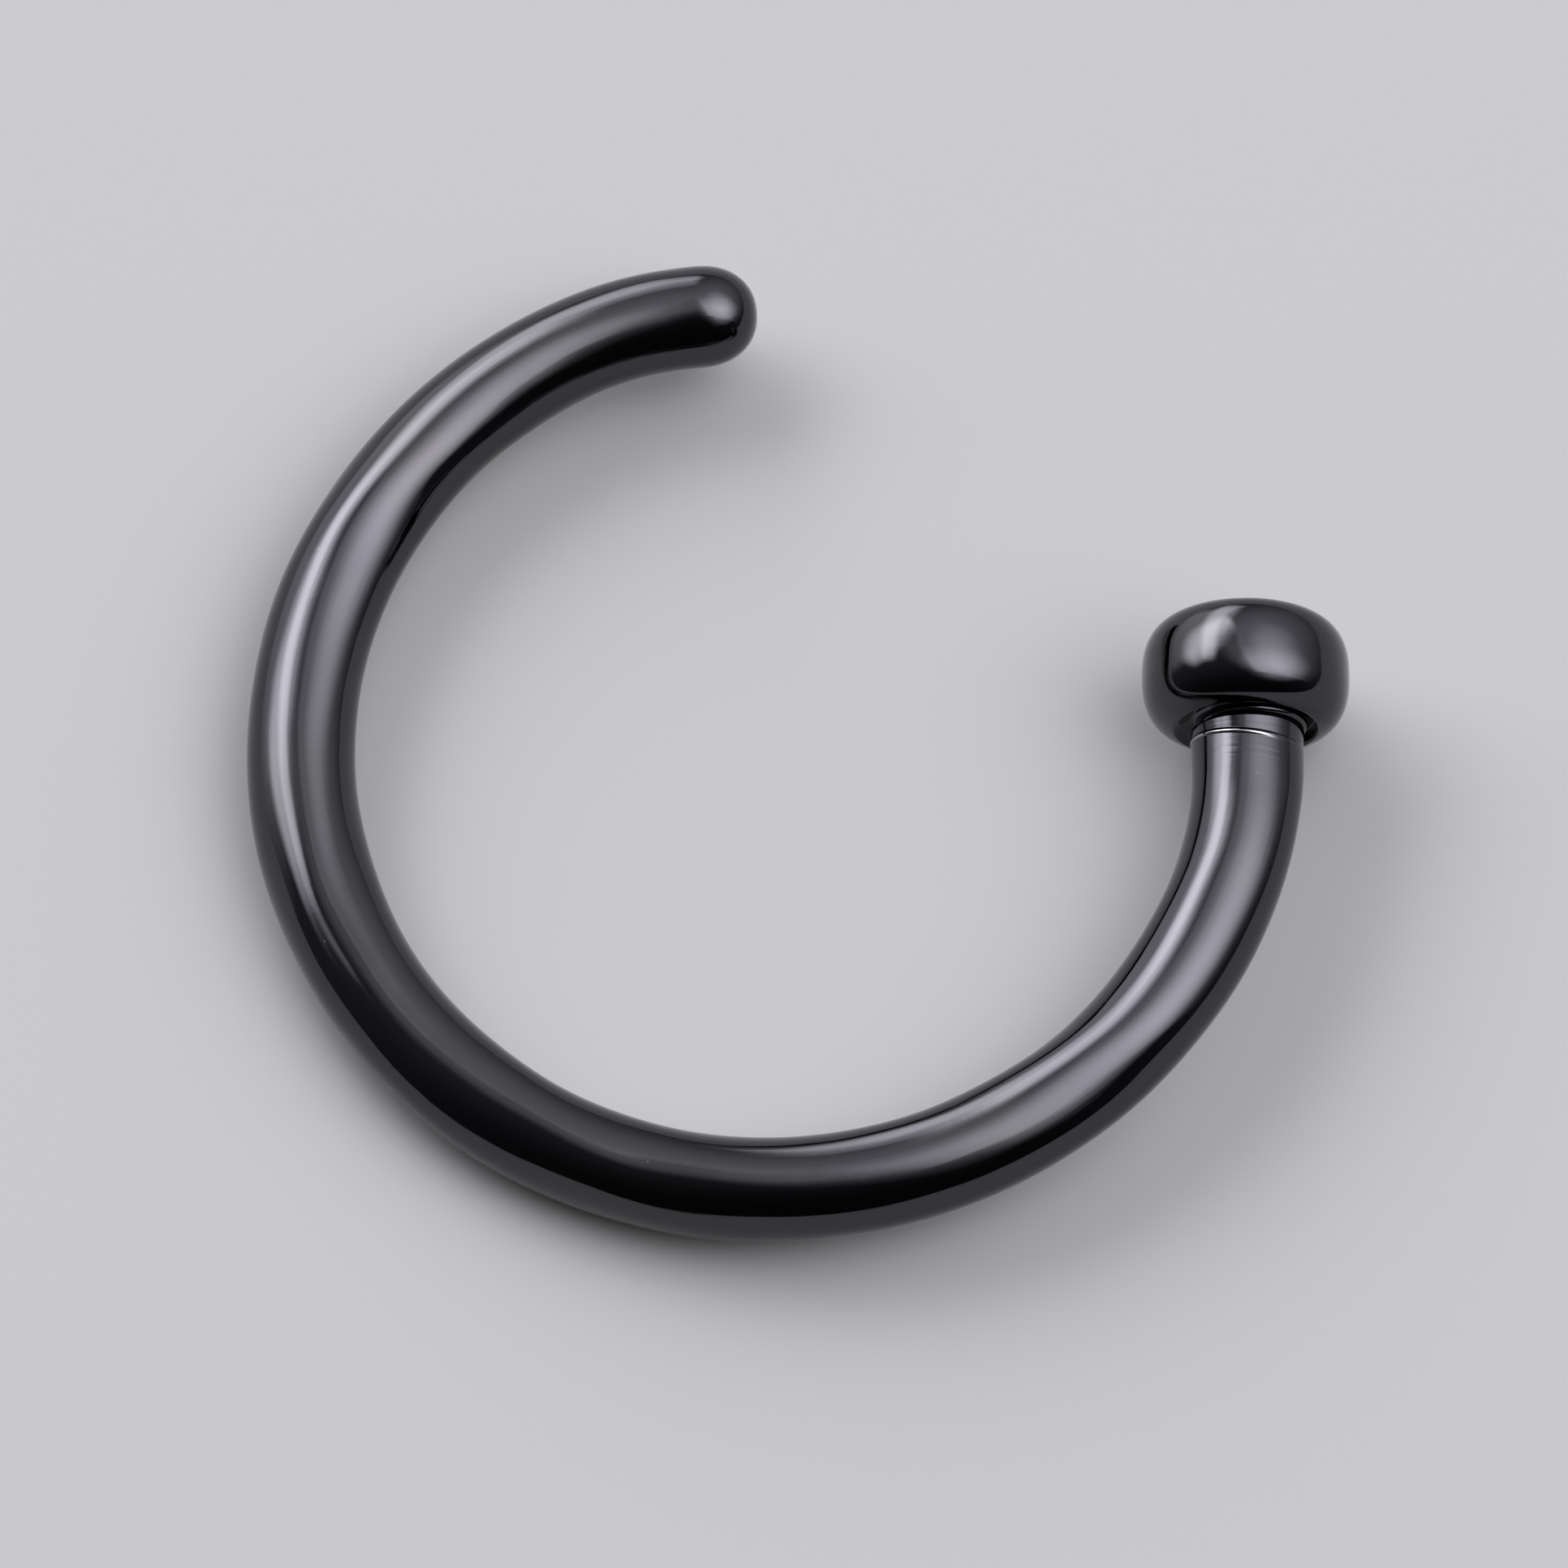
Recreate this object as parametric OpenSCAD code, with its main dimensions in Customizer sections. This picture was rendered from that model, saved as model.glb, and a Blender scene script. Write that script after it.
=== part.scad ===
// Open nose hoop: a round wire bent into an open ring, with a rounded end to pass through the piercing
// and a flattened bead on the other end that stops it. It lies on its side, as it comes to rest by itself:
// on the bead and on the far side of the wire.
// Millimetres. +X runs from the middle of the ring to the bead, +Z is up.

/* [Hoop] */
// Diameter of the wire, 18 gauge
wire_d = 1.0; // [0.8:0.1:1.2]
// Diameter of the space inside the ring
inside_d = 8.0; // [7:0.5:10]
// Radius of both end stretches, which are bent tighter than the ring
end_bend_r = 3.5; // [3.2:0.1:3.9]
// Angle of the ring at which the stretch to the rounded end begins, anticlockwise from +X
open_bend_at = 119; // [118:1:130]
// How far the stretch to the rounded end turns
open_bend_turn = 26; // [20:1:30]
// How far the stretch to the bead turns, up to where the wire runs straight along +Y
bead_bend_turn = 20; // [19:1:25]
// Straight wire between that stretch and the shoulder
straight_l = 0.23; // [0.1:0.01:0.6]

/* [Bead] */
// Diameter of the bead
bead_d = 1.96; // [1.8:0.02:2.4]
// Thickness of the bead along the wire
bead_t = 1.2; // [1.1:0.05:1.6]
// Radius of the bead's rounded edges
bead_edge_r = 0.5; // [0.35:0.05:0.5]
// Width of the flare round the mouth of the bead's hole
mouth_flare = 0.24; // [0.1:0.02:0.3]
// Depth of that flare
mouth_depth = 0.12; // [0.06:0.02:0.2]

/* [Joint between wire and bead] */
// Difference in radius between the wire and the pin on its end
shoulder_step = 0.05; // [0.05:0.01:0.2]
// How far the pin sits off the wire's middle, away from the ring's
pin_off = 0.04; // [0:0.01:0.04]
// Distance from the shoulder to the bead's underside
pin_shows = 0.09; // [0.05:0.01:0.2]
// Depth of the bead's hole
hole_depth = 0.8; // [0.5:0.05:0.9]
// Play between the pin and its hole, all round and at its tip
pin_play = 0.01; // [0.01:0.01:0.03]
// Size of the small bevels on the shoulder and on the pin's tip
shoulder_bevel = 0.03; // [0.02:0.01:0.04]

/* [Resting] */
// Direction in which the resting hoop leans down, anticlockwise from +X
lean_heading = 205; // [198:1:212]

/* [Hidden] */
$fn = 96;

steel = [0.13, 0.13, 0.15];
wire_r = wire_d / 2;
ring_r = inside_d / 2 + wire_r;
bead_r = bead_d / 2;
pin_r = wire_r - shoulder_step;
pin_l = pin_shows + hole_depth - pin_play;
bead_side = bead_t / 2 - bead_edge_r;

// Share of a bend that is drawn from each of its ends.
bend_share = 0.6;

// The stretch to the bead starts on the ring and ends where it runs along +Y.
bead_bend_centre = (ring_r - end_bend_r) * [cos(-bead_bend_turn), sin(-bead_bend_turn)];
wire_end = bead_bend_centre + [end_bend_r, straight_l];
bead_centre = wire_end + [0, pin_shows + bead_t / 2];

// The stretch to the rounded end starts on the ring too, and turns the other way round it.
open_bend_centre = (ring_r - end_bend_r) * [cos(open_bend_at), sin(open_bend_at)];
open_end_at = open_bend_at - open_bend_turn;

// At rest the wire's low side and the bead's edge both touch the surface.
lean_dir = [cos(lean_heading), sin(lean_heading)];
lean_sin = (bead_r - wire_r) / (ring_r - bead_centre * lean_dir - bead_side * abs(lean_dir.y));
lean = asin(lean_sin);
ring_height = wire_r + ring_r * lean_sin;

// Where a point of the ring's plane comes to lie in plan once the ring leans.
function in_plan(p) = p - (1 - cos(lean)) * (p * lean_dir) * lean_dir;

// The origin is under the middle of the part's box.
left_x = -ring_r * sqrt(1 - pow(lean_sin * lean_dir.x, 2)) - wire_r;
right_x = in_plan(bead_centre).x + bead_r;
low_y = -ring_r * sqrt(1 - pow(lean_sin * lean_dir.y, 2)) - wire_r;
high_y = in_plan(open_bend_centre + [0, end_bend_r * sin(max(open_end_at, 90))]).y + wire_r;
middle = [(left_x + right_x) / 2, (low_y + high_y) / 2];

// Lays the ring down from its own plane.
module at_rest() {
    translate([-middle.x, -middle.y, ring_height])
        rotate(a = lean, v = [-lean_dir.y, lean_dir.x, 0])
            children();
}

// A bend of the wire about an axis to the left of the origin. It sets out along +Y, or along -Y for a
// negative turn, and its children follow at its far end. Each half of it is drawn from its own end,
// so that it meets what is there face to face, and the two halves overlap in the middle.
module bend(bend_r, turn) {
    translate([-bend_r, 0, 0]) {
        bent_wire(bend_r, bend_share * turn);
        rotate([0, 0, turn]) {
            bent_wire(bend_r, -bend_share * turn);
            translate([bend_r, 0, 0])
                children();
        }
    }
}

// Round wire bent round the origin, from the x axis on.
module bent_wire(bend_r, turn) {
    rotate_extrude(angle = turn)
        translate([bend_r, 0])
            circle(r = wire_r);
}

// Turns a half section round the y axis.
module turned() {
    rotate([-90, 0, 0])
        rotate_extrude()
            children();
}

// Half of the section of the domed end.
module dome_profile() {
    intersection() {
        circle(r = wire_r);
        square(wire_r);
    }
}

// Half section of a round bar with a small bevel round its end.
module bar_profile(bar_r, bar_l) {
    polygon([
        [0, 0],
        [bar_r, 0],
        [bar_r, bar_l - shoulder_bevel],
        [bar_r - shoulder_bevel, bar_l],
        [0, bar_l]
    ]);
}

// The wire's bead end: straight wire up to the shoulder, and the pin, which starts inside it.
module pinned_end() {
    turned()
        bar_profile(wire_r, straight_l);
    translate([pin_off, straight_l / 2, 0])
        turned()
            bar_profile(pin_r, straight_l / 2 + pin_l);
}

// Half of the bead's section, with its middle at the origin.
module bead_profile() {
    flat_r = bead_r - bead_edge_r;
    translate([0, -bead_t / 2])
        square([flat_r, bead_t]);
    translate([flat_r, -bead_side])
        square([bead_edge_r, 2 * bead_side]);
    for (side = [-1, 1])
        translate([flat_r, side * bead_side])
            intersection() {
                circle(r = bead_edge_r);
                translate([0, side < 0 ? -bead_edge_r : 0])
                    square(bead_edge_r);
            }
}

// Half of the blind hole's section, with a flared mouth.
module hole_profile() {
    hole_r = pin_r + pin_play;
    polygon([
        [0, -bead_t],
        [hole_r + mouth_flare, -bead_t],
        [hole_r + mouth_flare, -bead_t / 2],
        [hole_r, -bead_t / 2 + mouth_depth],
        [hole_r, -bead_t / 2 + hole_depth],
        [0, -bead_t / 2 + hole_depth]
    ]);
}

// The wire. From the beginning of the ring it runs one way through a bend to the domed end,
// and the other way round the ring and through a bend to the shoulder and the pin that carry the bead.
module hoop_wire() {
    color(steel)
        at_rest()
            rotate([0, 0, open_bend_at])
                translate([ring_r, 0, 0]) {
                    bend(end_bend_r, -open_bend_turn)
                        rotate([0, 0, 180])
                            turned()
                                dome_profile();
                    bend(ring_r, 360 - bead_bend_turn - open_bend_at)
                        bend(end_bend_r, bead_bend_turn)
                            pinned_end();
                }
}

// The flattened bead with its blind hole.
module stopper_bead() {
    color(steel)
        at_rest()
            translate([bead_centre.x, bead_centre.y, 0])
                difference() {
                    turned()
                        bead_profile();
                    translate([pin_off, 0, 0])
                        turned()
                            hole_profile();
                }
}

hoop_wire();
stopper_bead();
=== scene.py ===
"""A nose hoop: a round wire of black coated steel, bent into an open ring, with a bead on its end.

Lengths are millimetres and angles degrees, apart from what is handed to Blender, which is in metres.
"""
import math

import bpy
import numpy as np
from mathutils import Matrix, Vector


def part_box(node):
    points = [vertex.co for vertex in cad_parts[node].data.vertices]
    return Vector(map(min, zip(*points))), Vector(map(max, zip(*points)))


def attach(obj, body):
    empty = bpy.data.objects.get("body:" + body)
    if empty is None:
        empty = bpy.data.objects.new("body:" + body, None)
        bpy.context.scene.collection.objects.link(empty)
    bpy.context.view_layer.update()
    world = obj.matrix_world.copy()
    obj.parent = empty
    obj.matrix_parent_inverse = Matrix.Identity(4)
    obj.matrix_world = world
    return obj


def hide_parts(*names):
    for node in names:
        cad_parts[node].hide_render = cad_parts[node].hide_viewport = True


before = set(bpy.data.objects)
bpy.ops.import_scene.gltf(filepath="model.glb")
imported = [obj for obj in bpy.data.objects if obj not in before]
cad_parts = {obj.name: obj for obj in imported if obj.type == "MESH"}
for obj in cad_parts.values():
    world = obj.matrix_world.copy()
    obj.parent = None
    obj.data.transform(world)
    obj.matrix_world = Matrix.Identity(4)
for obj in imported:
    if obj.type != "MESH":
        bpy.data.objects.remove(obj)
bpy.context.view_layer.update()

MM = 0.001

# The wire, as it is in the frame. Its middle line is an arc of RING_R, with a tighter bend at each end. The
# bend by the opening begins OPEN_BEND_AT degrees round the ring from +X. After the bend by the bead come a
# straight part and the pin, of which PIN_SHOWS is outside the bead.
WIRE_R = 0.5
RING_R = 4.5
END_BEND_R = 3.5
OPEN_BEND_AT = 119
OPEN_BEND_TURN = 26
BEAD_BEND_TURN = 20
STRAIGHT_L = 0.23
PIN_SHOWS = 0.09
HOLE_DEPTH = 0.8
PIN_PLAY = 0.01

# The bead, as it is in the frame: its radius, half its thickness and half the straight part of its side.
BEAD_R = 0.98
BEAD_HALF = 0.6
BEAD_SIDE = 0.1

# The heading in which the resting ring leans down.
LEAN_HEADING = 205

# The hoop is drawn this far above its place in the frame, so that nothing of it is below the floor.
LIFT = 0.0005

# How far a bend takes to reach its full curve.
BEND_EASE = 0.5

# Half the wire's width in the ring's plane, by the distance from the middle of the dome: bending and
# polishing left it a little thinner at the free end and at the bottom, and thicker towards the bead.
WIDTH_PLACES = (0.0, 1.6, 6.0, 13.5, 17.0, 19.6, 20.3)
HALF_WIDTHS = (0.482, 0.48, 0.515, 0.488, 0.5, 0.52, 0.53)

# Low waves that bending and polishing left in the wire: how often each goes round it, its length along it,
# its height, and the angle in radians at which it starts.
WAVES = ((2, 2.6, 0.003, 0.6), (3, 1.9, 0.0026, 2.2), (3, 4.7, 0.0035, 4.1), (4, 3.3, 0.002, 5.2),
         (4, 1.3, 0.0009, 1.0))

# The waves are full from WAVES_FROM past the middle of the dome. Over the last WAVES_FADE before the seam
# they fade to the share WAVES_LEFT. Towards the underside they fade out between these two sines of the angle
# round the wire.
WAVES_FROM = 0.5
WAVES_FADE = 0.6
WAVES_LEFT = 0.2
UNDERSIDE = (-0.95, -0.3)

# The free end: how long its dome is and the power of the dome's outline.
DOME_L = 0.56
DOME_POWER = 2.2

# The collar between the wire and the bead. It begins at a slanted seam, lower on the outside of the ring,
# with a fine burr on its edge, of which a part lies below the wire's surface. The slant sets in SLANT_L
# before the seam. On the outside of the ring the burr fades to the share BURR_LEFT, between these two
# cosines of the angle round the wire, and so does its light bare-steel grey, which is partly coating rubbed
# through and partly a painted highlight of the burr's edge. SEAM_AT and COLLAR_END are distances from the
# frame's shoulder.
SEAM_AT = -0.024
SEAM_SLANT = 0.055
SLANT_L = 0.8
SEAM_STEP_L = 0.003
BURR_R = 0.03
BURR_SUNK = 0.018
BURR_LEFT = 0.05
BURR_FADE = (0.2, 0.6)

# The collar starts a little thinner than the wire, widens towards the bead and has a rounded end. Its size
# is a share of the wire's. Its end leans with the bead, and the lean fades out LEAN_L further along the pin.
COLLAR_SIZE = 0.985
COLLAR_WIDENS = 0.025
COLLAR_END = 0.14
COLLAR_EDGE = 0.02
LEAN_L = 0.3

# The length of the wire before the seam that was turned with the collar.
TURNED_L = 0.4

# The pin that goes on from the collar into the bead, off the wire's middle, and the rounding of its tip. The
# bead's hole is HOLE_DEEPER than the frame's.
NECK_R = 0.455
NECK_OFF = 0.06
PIN_EDGE = 0.04
HOLE_DEEPER = 0.06

# The bead's true outline: its radius and half its thickness, and the powers of the shares of them that add
# up to one. The side of the bead is barrel-shaped and its faces are flatter. It is moved and tilted on the
# wire, its top to +Y.
ROUND_R = 0.982
ROUND_HALF = 0.569
RADIUS_POWER = 5.2
THICKNESS_POWER = 2.5
BEAD_SHIFT = (-0.011, -0.003, 0.0)
BEAD_TILT = 0.6

# The bead's underside: radius of the rim, depth and radius of the recess inside it, and depth and rounding
# of the lip round the neck. Depths are measured from the bead's middle.
RIM_R = 0.69
RECESS_DEPTH = 0.42
RECESS_R = 0.57
LIP_DEPTH = 0.541
LIP_EDGE = 0.05

# The polish runs along the wire and round the bead: length and width of its fine lines, and their width on
# the bead, which is smoother.
GRAIN_LENGTH = 2.5
GRAIN_WIDTH = 0.07
BEAD_GRAIN_WIDTH = 0.15

# How far the ripples, the lines of the polish and the turned rings stand out.
RIPPLE_HEIGHT = 0.005
LINE_HEIGHT = 0.0016
TURNED_HEIGHT = 0.0012

# How many there are in a millimetre of the drifts of the tone, the drifts of the shine, the ripples, the
# turned rings, and the cells of which some hold a pit.
TONES_PER_MM = 0.4
SHINES_PER_MM = 1.1
RIPPLES_PER_MM = 1.1
RINGS_PER_MM = 25.0
PITS_PER_MM = 1.3

# The lights' distance from the hoop.
LIGHT_AWAY = 300


# Places

def unit(heading):
    """The direction in plan that points heading degrees anticlockwise from +X."""
    return np.array([math.cos(math.radians(heading)), math.sin(math.radians(heading)), 0.0])


def resting_place():
    """The lean of the resting ring and the middle of the ring, which the wire's box in the frame gives.

    The wire's low side and the bead's edge touch the floor, so the sine of the lean is the difference of
    their radii over the distance between them, along the heading in which the ring leans down.
    """
    down = unit(LEAN_HEADING)
    bead_at = bead_middle()
    reach = RING_R - bead_at @ down - BEAD_SIDE * abs(down[1])
    lean_sin = (BEAD_R - WIRE_R) / reach
    low = np.array(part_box("hoop_wire")[0]) / MM
    spread = RING_R * np.sqrt(1 - (lean_sin * down[:2]) ** 2)
    x, y = low[:2] + WIRE_R + spread
    return math.asin(lean_sin), np.array([x, y, WIRE_R + RING_R * lean_sin + LIFT])


def bead_middle():
    """The middle of the frame's bead in the ring's own plane."""
    bend_middle = (RING_R - END_BEND_R) * unit(-BEAD_BEND_TURN)
    return bend_middle + np.array([END_BEND_R, STRAIGHT_L + PIN_SHOWS + BEAD_HALF, 0.0])


def laid_down(points):
    """Points of the ring's own plane in their places on the floor.

    They are turned by the lean about the level axis across the heading, and then moved. The turn keeps what
    lies along the axis, and mixes the rest with its cross product by the cosine and sine of the lean.
    """
    lean, middle = resting_place()
    down = unit(LEAN_HEADING)
    axis = np.array([-down[1], down[0], 0.0])
    along = points @ axis
    turned = (points * math.cos(lean) + np.cross(axis, points) * math.sin(lean)
              + along[..., None] * axis * (1 - math.cos(lean)))
    return turned + middle


# Meshes

def surface(name, points, across, along, grain, wear_and_highlight, material):
    """A closed piece from a grid of rings, whose first and last rings are single points.

    points[i, j] is corner j of ring i. Quads join each ring to the next, and a fan closes each end. The UV
    map is (along[i], across[i, j]) in millimetres, where across has one more column than the ring has
    corners. grain[i, j] is the place in the polish, in lengths and widths of its lines. The next argument
    gives at each corner the share of a light bare-steel grey, which stands partly for coating rubbed
    through and partly for a painted highlight.
    """
    rings, sides = points.shape[:2]
    inner = laid_down(points[1:-1]).reshape(-1, 3)
    poles = laid_down(points[[0, -1], 0])
    verts = np.concatenate([inner, poles]) * MM
    i, j = np.meshgrid(np.arange(rings - 3), np.arange(sides), indexing="ij")
    i, j = i.ravel(), j.ravel()
    k = (j + 1) % sides
    quads = np.stack([i * sides + j, (i + 1) * sides + j, (i + 1) * sides + k, i * sides + k], 1)
    c = np.arange(sides)
    d = (c + 1) % sides
    first, last = len(inner), len(inner) + 1
    top = (rings - 3) * sides
    start_fan = np.stack([0 * c + first, c, d], 1)
    end_fan = np.stack([top + c, 0 * c + last, top + d], 1)
    mesh = bpy.data.meshes.new(name)
    mesh.from_pydata(verts.tolist(), [], quads.tolist() + start_fan.tolist() + end_fan.tolist())

    quad_u = np.stack([along[i + 1], along[i + 2], along[i + 2], along[i + 1]], 1)
    quad_v = np.stack([across[i + 1, j], across[i + 2, j], across[i + 2, j + 1], across[i + 1, j + 1]], 1)
    start_u = np.stack([0 * c + along[0], 0 * c + along[1], 0 * c + along[1]], 1)
    start_v = np.stack([across[1, c], across[1, c], across[1, c + 1]], 1)
    end_u = np.stack([0 * c + along[-2], 0 * c + along[-1], 0 * c + along[-2]], 1)
    end_v = np.stack([across[-2, c], across[-2, c], across[-2, c + 1]], 1)
    u = np.concatenate([quad_u.ravel(), start_u.ravel(), end_u.ravel()])
    v = np.concatenate([quad_v.ravel(), start_v.ravel(), end_v.ravel()])
    layer = mesh.uv_layers.new(name="surface_mm")
    layer.data.foreach_set("uv", np.stack([u, v], 1).ravel())
    lines = np.concatenate([grain[1:-1].reshape(-1, 3), grain[[0, -1], 0]])
    mesh.attributes.new("grain", "FLOAT_VECTOR", "POINT").data.foreach_set("vector", lines.ravel())
    # The share of light bare-steel grey: coating rubbed through, and a painted highlight on the burr.
    wear_and_highlight_shares = np.concatenate([wear_and_highlight[1:-1].ravel(), wear_and_highlight[[0, -1], 0]])
    mesh.attributes.new("wear_and_highlight", "FLOAT", "POINT").data.foreach_set("value", wear_and_highlight_shares)
    mesh.polygons.foreach_set("use_smooth", np.ones(len(mesh.polygons), dtype=bool))
    mesh.materials.append(material)
    mesh.update()
    piece = bpy.data.objects.new(name, mesh)
    bpy.context.collection.objects.link(piece)
    return piece


def joined(*stretches):
    """One outline from several that meet end to end, without the points they share."""
    kept = [stretches[0]] + [s[1:] for s in stretches[1:]]
    return np.concatenate(kept)


def eased(place, places, values):
    """The values at their places, with the S-curve t * t * (3 - 2 * t) from each one to the next."""
    result = np.full(np.shape(place), float(values[0]))
    for start, end, a, b in zip(places, places[1:], values, values[1:]):
        t = np.clip((place - start) / (end - start), 0, 1)
        result += (b - a) * t * t * (3 - 2 * t)
    return result


# The wire

def wire_path(along):
    """Middle line of the wire at distances along it, from the middle of the dome: points and headings.

    The line's curvature is one over the radius of each bend, eased from one bend to the next. Its sum over
    the length is the heading, and the sum of the headings' directions is the line, which is then moved so
    that the middle of the ring stays where the frame has it. The sums run straight on past both ends.
    """
    before, after = 2, 3
    open_l = END_BEND_R * math.radians(OPEN_BEND_TURN)
    ring_turn = 360 - BEAD_BEND_TURN - OPEN_BEND_AT
    ring_l = RING_R * math.radians(ring_turn)
    bead_l = END_BEND_R * math.radians(BEAD_BEND_TURN)
    bend_ends = np.cumsum([0, open_l, ring_l, bead_l])
    step = 0.002
    s = np.arange(-before, bend_ends[-1] + after, step)
    curvature = np.select([s < 0, s < bend_ends[1], s < bend_ends[2], s < bend_ends[3]],
                          [0, 1 / END_BEND_R, 1 / RING_R, 1 / END_BEND_R], 0)
    width = round(BEND_EASE / step)
    curvature = np.convolve(curvature, np.ones(width) / width, mode="same")
    heading = np.cumsum(curvature) * step
    mid_s = open_l + ring_l / 2
    mid_angle = math.radians(OPEN_BEND_AT + ring_turn / 2)
    heading += mid_angle + math.pi / 2 - np.interp(mid_s, s, heading)
    x, y = np.cumsum(np.cos(heading)) * step, np.cumsum(np.sin(heading)) * step
    x += RING_R * math.cos(mid_angle) - np.interp(mid_s, s, x)
    y += RING_R * math.sin(mid_angle) - np.interp(mid_s, s, y)
    line_at = np.stack([np.interp(along, s, x), np.interp(along, s, y)], 1)
    return line_at, np.interp(along, s, heading)


def wire_length():
    """Distance from the middle of the dome to the frame's shoulder."""
    ring_turn = 360 - BEAD_BEND_TURN - OPEN_BEND_AT
    bends = END_BEND_R * (OPEN_BEND_TURN + BEAD_BEND_TURN) + RING_R * ring_turn
    return math.radians(1) * bends + STRAIGHT_L


def wire_outline():
    """The wire's outline from the tip of the dome to the tip of the pin, in four columns.

    They are the distance along the wire, the size as a share of its section, the share of the way from the
    wire's own section to the pin's, and the height of the burr. The dome is a superellipse. The burr is an
    arc of a circle that sticks out of the wire. The collar's end is a quarter of an ellipse that runs over
    to the pin.
    """
    tip_at = -HALF_WIDTHS[0]
    seam = wire_length() + SEAM_AT
    collar_end = wire_length() + COLLAR_END
    pin_tip = wire_length() + PIN_SHOWS + HOLE_DEPTH - PIN_PLAY
    foot = math.asin(BURR_SUNK / BURR_R)
    burr_start = seam - 2 * BURR_R * math.cos(foot)
    before_burr = 0.004
    a = np.radians(np.linspace(0, 90, 60))
    power = 2 / DOME_POWER
    dome_at = tip_at + DOME_L * (1 - np.abs(np.cos(a)) ** power)
    dome = np.stack([dome_at, np.sin(a) ** power, 0 * a, 0 * a], 1)
    body = np.linspace((tip_at + DOME_L, 1, 0, 0), (seam - TURNED_L, 1, 0, 0), 620)
    end = np.linspace((seam - TURNED_L, 1, 0, 0), (burr_start - before_burr, 1, 0, 0), 40)
    arc = np.linspace(foot, math.pi - foot, 15)
    burr = np.stack([seam - BURR_R * (math.cos(foot) + np.cos(arc)), 1 + 0 * arc, 0 * arc,
                     BURR_R * np.sin(arc) - BURR_SUNK], 1)
    burr = np.concatenate([end[-1:], burr])
    end_size = COLLAR_SIZE + COLLAR_WIDENS
    step = np.linspace((seam, 1, 0, 0), (seam + SEAM_STEP_L, COLLAR_SIZE, 0, 0), 3)
    collar = np.linspace(step[-1], (collar_end - COLLAR_EDGE, end_size, 0, 0), 12)
    a = np.radians(np.linspace(0, 90, 14))
    round_end = np.stack([collar_end - COLLAR_EDGE * (1 - np.sin(a)),
                          end_size + (1 - end_size) * a / a[-1], 1 - np.cos(a), 0 * a], 1)
    pin = np.linspace((collar_end, 1, 1, 0), (pin_tip - PIN_EDGE, 1, 1, 0), 40)
    edge = np.stack([pin_tip - PIN_EDGE * (1 - np.sin(a)), 1 - PIN_EDGE / NECK_R * (1 - np.cos(a)),
                     1 + 0 * a, 0 * a], 1)
    back = np.linspace((pin_tip, 1 - PIN_EDGE / NECK_R, 1, 0), (pin_tip, 0, 1, 0), 6)
    return joined(dome, body, end, burr, step, collar, round_end, pin, edge, back)


def hoop_wire(material):
    """The wire: its section, carried along the middle line.

    The wire's own section is an ellipse: half its width in the ring's plane is in HALF_WIDTHS, and half its
    height is WIRE_R. Waves are added to its radius: each is a cosine round the wire and along it. They fade
    towards both ends and the underside, on which the hoop rests. The pin's section is a circle, moved
    outwards. Rings near the seam are slanted with it, and those near the collar's end lean with the bead.
    """
    along, size, pin, raised = wire_outline().T
    middle, heading = wire_path(along)
    sides = 112
    around = np.linspace(-math.pi / 2, 1.5 * math.pi, sides + 1)
    out, up = np.cos(around[:-1]), np.sin(around[:-1])
    wide = eased(along, WIDTH_PLACES, HALF_WIDTHS)
    seam = wire_length() + SEAM_AT
    collar_end = wire_length() + COLLAR_END
    collar_edge = collar_end - COLLAR_EDGE
    waves = np.zeros((len(along), sides))
    for times, length, height, start in WAVES:
        waves += height * np.cos(times * around[None, :-1] + 2 * math.pi * along[:, None] / length + start)
    fades = (-WAVES_FROM, WAVES_FROM, seam - WAVES_FADE, seam)
    waves *= eased(along, fades, (0, 1, 1, WAVES_LEFT))[:, None]
    waves *= eased(up, UNDERSIDE, (0, 1))
    burr_share = eased(out, BURR_FADE, (1, BURR_LEFT))
    waves += raised[:, None] * burr_share
    own_out = (wide[:, None] + waves) * out
    own_up = (WIRE_R + waves) * up
    share = pin[:, None]
    out_at = size[:, None] * ((1 - share) * own_out + share * NECK_R * out) + share * NECK_OFF
    up_at = size[:, None] * ((1 - share) * own_up + share * NECK_R * up)
    slant = eased(along, (seam - SLANT_L, seam, collar_edge), (0, SEAM_SLANT, 0))
    lean = eased(along, (seam, collar_edge, collar_end, collar_end + LEAN_L), (0, 1, 1, 0))
    lean *= math.tan(math.radians(BEAD_TILT))
    ahead_at = lean[:, None] * up_at - slant[:, None] * out * size[:, None]
    outward = np.stack([np.sin(heading), -np.cos(heading), 0 * heading], 1)[:, None]
    ahead = np.stack([np.cos(heading), np.sin(heading), 0 * heading], 1)[:, None]
    points = (np.concatenate([middle, 0 * middle[:, :1]], 1)[:, None] + out_at[..., None] * outward
              + ahead_at[..., None] * ahead + up_at[..., None] * np.array([0.0, 0.0, 1.0]))
    across = WIRE_R * np.tile(around[::-1], (len(along), 1))
    lines = WIRE_R / GRAIN_WIDTH * size[:, None]
    grain = np.stack(np.broadcast_arrays(along[:, None] / GRAIN_LENGTH, lines * out, lines * up), -1)
    # The burr is painted a light bare-steel grey: partly coating rubbed through, partly a painted highlight
    # of its edge, faded with the burr on the outside of the ring.
    wear_and_highlight = np.clip(raised / (BURR_R - BURR_SUNK), 0, 1)[:, None] * burr_share
    return surface("wire", points[:, ::-1], across, along, grain[:, ::-1], wear_and_highlight[:, ::-1], material)


# The bead

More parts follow.
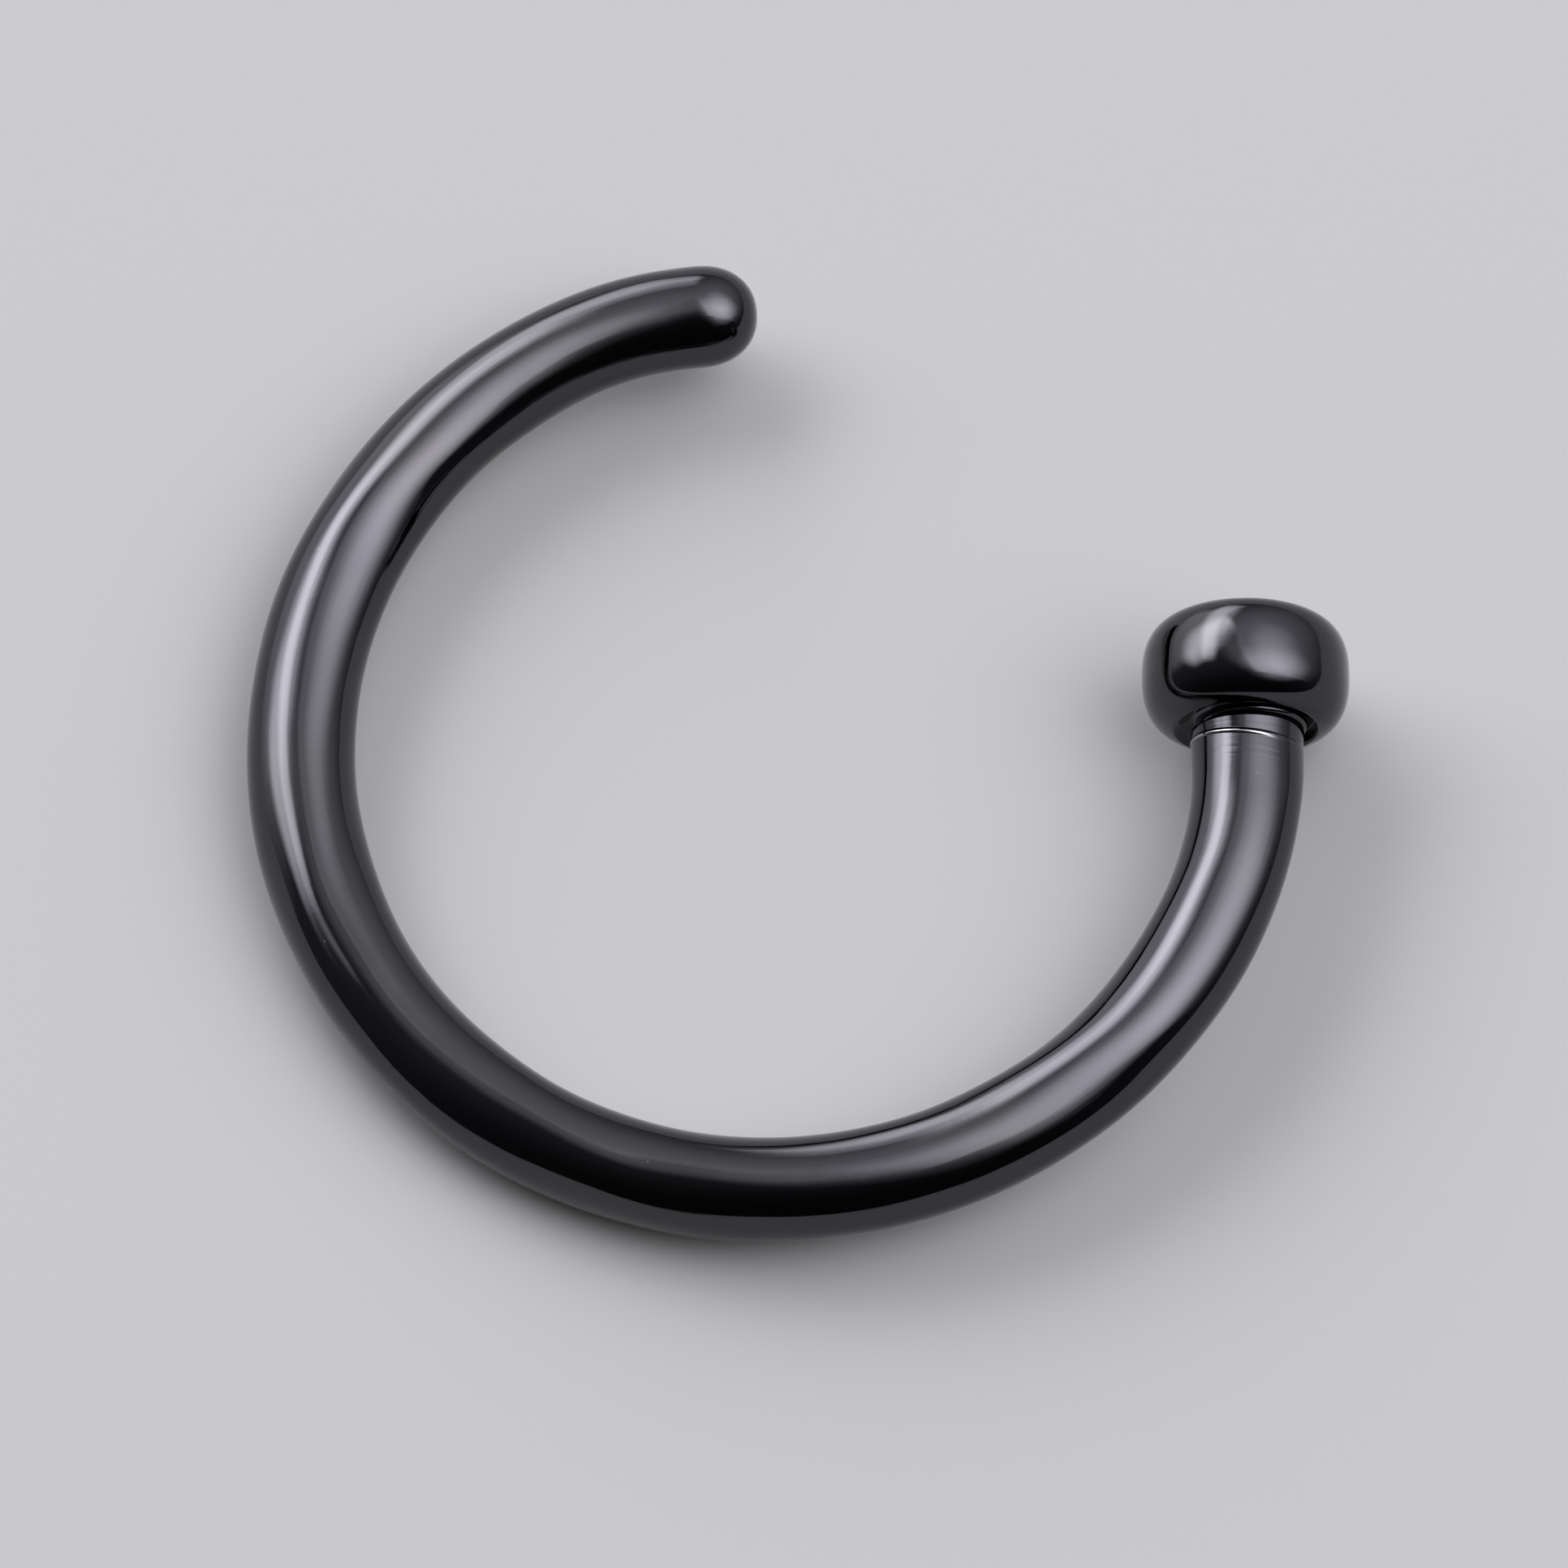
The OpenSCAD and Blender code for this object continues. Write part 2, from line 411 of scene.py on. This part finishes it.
def bead_outline():
    """Half of the bead's outline: places along its axis and radii, from the far face to the hole's bottom.

    Outside it is a superellipse: a power of the share of the radius and another power of the share of half
    the thickness add up to one. At the rim it runs through an S-curve into the recess. From there a short
    sleeve stands out, with a quarter circle round its end, which is the lip, and inside that is the hole.
    The second result is the share of the way from the bead's own axis to the neck's.
    """
    hole_r = NECK_R + PIN_PLAY
    sleeve_r = hole_r + LIP_EDGE
    bottom = HOLE_DEPTH - BEAD_HALF + HOLE_DEEPER
    far = np.radians(np.linspace(90, 0, 60))
    near = np.linspace(0, math.acos((RIM_R / ROUND_R) ** (RADIUS_POWER / 2)), 60)
    to_r, to_half = 2 / RADIUS_POWER, 2 / THICKNESS_POWER
    far_face = np.stack([ROUND_HALF * np.sin(far) ** to_half, ROUND_R * np.abs(np.cos(far)) ** to_r], 1)
    near_face = np.stack([-ROUND_HALF * np.sin(near) ** to_half, ROUND_R * np.cos(near) ** to_r], 1)
    rim = near_face[-1, 0]
    t = np.linspace(0, 1, 20)
    deeper = (RECESS_DEPTH + rim) * t * t * (3 - 2 * t)
    recess = np.stack([rim - deeper, RIM_R + (RECESS_R - RIM_R) * t], 1)
    a = np.radians(np.linspace(0, 90, 10))
    root_r = RECESS_R - sleeve_r
    root = np.stack([-RECESS_DEPTH - root_r * (1 - np.cos(a)), RECESS_R - root_r * np.sin(a)], 1)
    sleeve = np.linspace(root[-1], (-LIP_DEPTH + LIP_EDGE, sleeve_r), 4)
    lip = np.stack([-LIP_DEPTH + LIP_EDGE * (1 - np.sin(a)), hole_r + LIP_EDGE * np.cos(a)], 1)
    wall = np.linspace((-LIP_DEPTH, hole_r), (bottom, hole_r), 14)
    end = np.linspace((bottom, hole_r), (bottom, 0), 5)
    outline = joined(far_face, near_face, recess, root, sleeve, lip, wall, end)
    before = len(far_face) + len(near_face) - 1
    after = before + len(recess) - 1
    aside = np.ones(len(outline))
    aside[:before] = 0
    aside[before:after] = eased(t[1:], (0, 1), (0, 1))
    return outline, aside


def stopper_bead(material):
    """The bead: its outline turned round its axis, which is tilted from +Y of the ring's own plane.

    From the rim inwards the outline moves over from the bead's own axis to the neck's.
    """
    outline, aside = bead_outline()
    axial, radius = outline[:, 0], np.maximum(outline[:, 1], 0)
    tilt = math.radians(BEAD_TILT)
    cos, sin = math.cos(tilt), math.sin(tilt)
    sides = 160
    around = np.linspace(-math.pi / 2, 1.5 * math.pi, sides + 1)
    ring_x, ring_z = np.cos(around[:-1]), np.sin(around[:-1])
    x = radius[:, None] * ring_x + (aside * (NECK_OFF - BEAD_SHIFT[0]))[:, None]
    z = radius[:, None] * ring_z + (aside * axial * math.tan(tilt))[:, None]
    y = axial[:, None] + 0 * x
    turned = np.stack([x, y * cos + z * sin, z * cos - y * sin], -1)
    points = bead_middle() + np.array(BEAD_SHIFT) + turned
    steps = np.hypot(np.diff(axial), np.diff(radius))
    along = np.concatenate([[0], np.cumsum(steps)])
    lines = radius[:, None] / GRAIN_LENGTH
    widths = along[:, None] / BEAD_GRAIN_WIDTH
    grain = np.stack(np.broadcast_arrays(widths, lines * ring_x, lines * ring_z), -1)
    across = BEAD_R * np.tile(around, (len(along), 1))
    return surface("bead", points, across, along, grain, 0 * x, material)


# Materials

def colour(code):
    """Linear red, green, blue and alpha of an sRGB hex colour."""
    parts = [int(code[k:k + 2], 16) / 255 for k in (1, 3, 5)]
    return [c / 12.92 if c <= 0.04045 else ((c + 0.055) / 1.055) ** 2.4 for c in parts] + [1.0]


def add(tree, kind, links=None, values=None, **settings):
    """A new node with its settings, the values of its inputs and the outputs that lead to its inputs."""
    node = tree.nodes.new(kind)
    for name, value in settings.items():
        setattr(node, name, value)
    for name, value in (values or {}).items():
        node.inputs[name].default_value = value
    for name, output in (links or {}).items():
        tree.links.new(output, node.inputs[name])
    return node


def ranged(tree, value, low, high, to_low, to_high):
    """The value's share of the way from low to high, as an S-curve, gives a value between the other two."""
    node = add(tree, "ShaderNodeMapRange", links={"Value": value},
               values={"From Min": low, "From Max": high, "To Min": to_low, "To Max": to_high},
               interpolation_type="SMOOTHSTEP")
    return node.outputs["Result"]


def mixed(tree, share, a, b):
    """The colours a and b, mixed by the share. Each is an sRGB hex colour or another node's output."""
    node = add(tree, "ShaderNodeMix", links={"Factor": share}, data_type="RGBA")
    for socket, value in ((node.inputs[6], a), (node.inputs[7], b)):
        if isinstance(value, str):
            socket.default_value = colour(value)
        else:
            tree.links.new(value, socket)
    return node.outputs[2]


def raised_by(tree, height, distance, under=None):
    """A normal that follows a height map, where height 1 stands out by the distance, on another normal."""
    links = {"Height": height}
    if under is not None:
        links["Normal"] = under
    node = add(tree, "ShaderNodeBump", links=links, values={"Distance": distance * MM, "Strength": 1.0})
    return node.outputs["Normal"]


def black_coated_steel():
    """Stainless steel, mirror polished and coated black in a vacuum.

    The coating is a dark metal that follows the polish, so the eye sees almost black, clear reflections of
    the lights in cool grey with a trace of violet, and a brighter edge. The parts of it:
    - the coating's tone drifts from neutral to slightly violet grey over about 2.5 mm;
    - the polish left lines 0.07 mm wide along the wire and 0.15 mm wide round the bead, and ripples of
      about 0.9 mm, which make the edges of the highlights uneven;
    - the shine comes and goes a little over about 1 mm, and the lines show more where it is rubbed dull;
    - the collar and the last 0.4 mm of the wire before it have rings 0.04 mm apart, left by turning;
    - a few pits 0.02 mm wide show darker grey under the coating, and the burr at the seam is painted a light
      bare-steel grey, partly coating rubbed through and partly a painted highlight of its edge.
    """
    material = bpy.data.materials.new("black_coated_steel")
    material.use_nodes = True
    tree = material.node_tree
    tree.nodes.clear()

    place = add(tree, "ShaderNodeTexCoord").outputs["Object"]
    place_mm = add(tree, "ShaderNodeVectorMath", links={0: place}, values={"Scale": 1 / MM},
                   operation="SCALE").outputs["Vector"]
    grain = add(tree, "ShaderNodeAttribute", attribute_name="grain").outputs["Vector"]
    wear_and_highlight = add(tree, "ShaderNodeAttribute", attribute_name="wear_and_highlight").outputs["Fac"]
    on_surface = add(tree, "ShaderNodeUVMap", uv_map="surface_mm").outputs["UV"]
    along = add(tree, "ShaderNodeSeparateXYZ", links={"Vector": on_surface}).outputs["X"]

    drift = add(tree, "ShaderNodeTexNoise", links={"Vector": place_mm},
                values={"Scale": TONES_PER_MM, "Detail": 2.0})
    tone = mixed(tree, ranged(tree, drift.outputs["Fac"], 0.35, 0.65, 0, 1), "#464547", "#454449")

    shine = add(tree, "ShaderNodeTexNoise", links={"Vector": place_mm},
                values={"Scale": SHINES_PER_MM, "Detail": 4.0})
    roughness = ranged(tree, shine.outputs["Fac"], 0.3, 0.7, 0.045, 0.085)

    lines = add(tree, "ShaderNodeTexNoise", links={"Vector": grain}, values={"Scale": 1.0, "Detail": 3.0})
    ripples = add(tree, "ShaderNodeTexNoise", links={"Vector": place_mm},
                  values={"Scale": RIPPLES_PER_MM, "Detail": 1.0})
    rubbed = ranged(tree, shine.outputs["Fac"], 0.45, 0.65, 0.35, 1)
    line_height = add(tree, "ShaderNodeMath", links={0: lines.outputs["Fac"], 1: rubbed},
                      operation="MULTIPLY").outputs["Value"]
    normal = raised_by(tree, ripples.outputs["Fac"], RIPPLE_HEIGHT)
    normal = raised_by(tree, line_height, LINE_HEIGHT, normal)

    seam = wire_length() + SEAM_AT
    near_seam = ranged(tree, along, seam - TURNED_L, seam - TURNED_L / 4, 0, 1)
    rings = add(tree, "ShaderNodeTexNoise", links={"W": along},
                values={"Scale": RINGS_PER_MM, "Detail": 2.0}, noise_dimensions="1D")
    ring_height = add(tree, "ShaderNodeMath", links={0: rings.outputs["Fac"], 1: near_seam},
                      operation="MULTIPLY").outputs["Value"]
    normal = raised_by(tree, ring_height, TURNED_HEIGHT, normal)
    roughness = add(tree, "ShaderNodeMath", links={0: ring_height, 2: roughness}, values={1: 0.1},
                    operation="MULTIPLY_ADD").outputs["Value"]

    pits = add(tree, "ShaderNodeTexVoronoi", links={"Vector": on_surface}, values={"Scale": PITS_PER_MM},
               voronoi_dimensions="2D")
    chance = add(tree, "ShaderNodeSeparateColor", links={"Color": pits.outputs["Color"]}).outputs["Red"]
    small = ranged(tree, pits.outputs["Distance"], 0.007, 0.013, 1, 0)
    pit = add(tree, "ShaderNodeMath", links={0: small, 1: ranged(tree, chance, 0.88, 0.89, 0, 1)},
              operation="MULTIPLY").outputs["Value"]
    # The burr's light bare-steel grey: coating rubbed through, and also a painted highlight of its edge.
    tone = mixed(tree, wear_and_highlight, mixed(tree, pit, tone, "#5d5c60"), "#a3a2a6")
    roughness = add(tree, "ShaderNodeMath", links={0: pit, 2: roughness}, values={1: 0.3},
                    operation="MULTIPLY_ADD").outputs["Value"]

    shader = add(tree, "ShaderNodeBsdfPrincipled", values={"Metallic": 1.0},
                 links={"Base Color": tone, "Roughness": roughness, "Normal": normal})
    add(tree, "ShaderNodeOutputMaterial", links={"Surface": shader.outputs["BSDF"]})
    return material


def pale_floor():
    """Matt pale card."""
    material = bpy.data.materials.new("pale_card")
    material.use_nodes = True
    shader = material.node_tree.nodes["Principled BSDF"]
    shader.inputs["Base Color"].default_value = colour("#98989a")
    shader.inputs["Roughness"].default_value = 0.9
    return material


# Studio

def floor():
    """A flat square far larger than the hoop."""
    half = 1500 * MM
    mesh = bpy.data.meshes.new("floor")
    corners = [(-half, -half, 0), (half, -half, 0), (half, half, 0), (-half, half, 0)]
    mesh.from_pydata(corners, [], [(0, 1, 2, 3)])
    mesh.materials.append(pale_floor())
    piece = bpy.data.objects.new("floor", mesh)
    bpy.context.collection.objects.link(piece)


def room():
    """A dim room that is a little lighter at the far side, towards +Y."""
    world = bpy.data.worlds.new("studio")
    world.use_nodes = True
    tree = world.node_tree
    direction = add(tree, "ShaderNodeTexCoord")
    parts = add(tree, "ShaderNodeSeparateXYZ", links={"Vector": direction.outputs["Generated"]})
    glow = add(tree, "ShaderNodeMapRange", links={"Value": parts.outputs["Y"]},
               values={"From Min": -1.0, "From Max": 1.0, "To Min": 0.02, "To Max": 0.3},
               interpolation_type="SMOOTHSTEP")
    tree.nodes["Background"].inputs["Color"].default_value = colour("#f4f3ff")
    tree.links.new(glow.outputs["Result"], tree.nodes["Background"].inputs["Strength"])
    scene = bpy.context.scene
    scene.world = world
    scene.view_settings.view_transform = "Standard"


def softbox(name, zenith, heading, turn, width, height, radiance, edges):
    """A rectangular light that faces the hoop.

    Zenith is the angle from straight up to the light. Width and height are the tangents of half the angles
    that they take up, and turn is the angle from level to the width. edges are the shares of the width and
    of the height over which the light fades in from its four sides: left, right, bottom and top, seen from
    the hoop.
    """
    away = LIGHT_AWAY * MM
    z, a = math.radians(zenith), math.radians(heading)
    towards = Vector((math.sin(z) * math.cos(a), math.sin(z) * math.sin(a), math.cos(z)))
    level = Vector((-math.sin(a), math.cos(a), 0))
    axes = Matrix((level, towards.cross(level), towards)).transposed()
    light = bpy.data.lights.new(name, "AREA")
    light.shape = "RECTANGLE"
    light.size, light.size_y = 2 * away * width, 2 * away * height
    light.energy = radiance * math.pi * light.size * light.size_y
    light.use_nodes = True
    tree = light.node_tree
    place = add(tree, "ShaderNodeNewGeometry")
    place_xy = add(tree, "ShaderNodeSeparateXYZ", links={"Vector": place.outputs["Parametric"]})
    strength = None
    for side, (axis, start, end) in enumerate((("X", 0, 1), ("X", 1, 0), ("Y", 0, 1), ("Y", 1, 0))):
        fade = add(tree, "ShaderNodeMapRange", links={"Value": place_xy.outputs[axis]},
                   values={"From Min": start, "From Max": start + (end - start) * edges[side]},
                   interpolation_type="SMOOTHSTEP")
        product = add(tree, "ShaderNodeMath", links={0: fade.outputs["Result"]}, values={1: 1.0},
                      operation="MULTIPLY")
        if strength is not None:
            tree.links.new(strength, product.inputs[1])
        strength = product.outputs["Value"]
    tree.links.new(strength, tree.nodes["Emission"].inputs["Strength"])
    lamp = bpy.data.objects.new(name, light)
    lamp.rotation_mode = "QUATERNION"
    lamp.rotation_quaternion = (axes @ Matrix.Rotation(math.radians(turn), 3, "Z")).to_quaternion()
    lamp.location = towards * away
    bpy.context.collection.objects.link(lamp)


def camera():
    """The photograph's view: 67.3 degrees above the floor, from the side that faces -Y."""
    elevation = math.radians(67.3)
    away = 250 * MM
    aim = Vector((-0.1415, -0.0396, 0)) * MM
    seen = 14.842 * MM
    data = bpy.data.cameras.new("camera")
    data.sensor_width = 36
    data.lens = data.sensor_width * away / seen
    data.clip_start, data.clip_end = 10 * MM, 5000 * MM
    back = Vector((0, -math.cos(elevation), math.sin(elevation)))
    eye = bpy.data.objects.new("camera", data)
    eye.location = aim + back * away
    eye.rotation_mode = "QUATERNION"
    eye.rotation_quaternion = (-back).to_track_quat("-Z", "Y")
    bpy.context.collection.objects.link(eye)
    bpy.context.scene.camera = eye


steel = black_coated_steel()
wire = hoop_wire(steel)
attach(wire, "root")
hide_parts("hoop_wire")
bead = stopper_bead(steel)
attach(bead, "root")
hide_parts("stopper_bead")

floor()
room()
softbox("left_key", 51.5, 145.2, -118.5, 0.39, 0.61, 4.5, (0.45, 0.5, 0.14, 0.25))
softbox("left_wide", 76.6, 139, -54.1, 0.95, 0.67, 1.46, (0.09, 0.6, 0.3, 0.28))
softbox("left_strip", 55.9, 125.1, -53.8, 0.25, 0.93, 3.6, (0.38, 0.4, 0.2, 0.2))
softbox("right_wide", 48.7, 38.3, -22.6, 1.52, 1.19, 1.43, (0.08, 0.71, 0.72, 0.12))
softbox("overhead", 5.9, -77.9, 117.4, 1.51, 0.31, 0.76, (0.38, 0.5, 0.43, 0.6))
softbox("right_key", 33.3, -0.4, -32.1, 0.74, 0.89, 4.4, (0.45, 0.6, 0.44, 0.55))
camera()
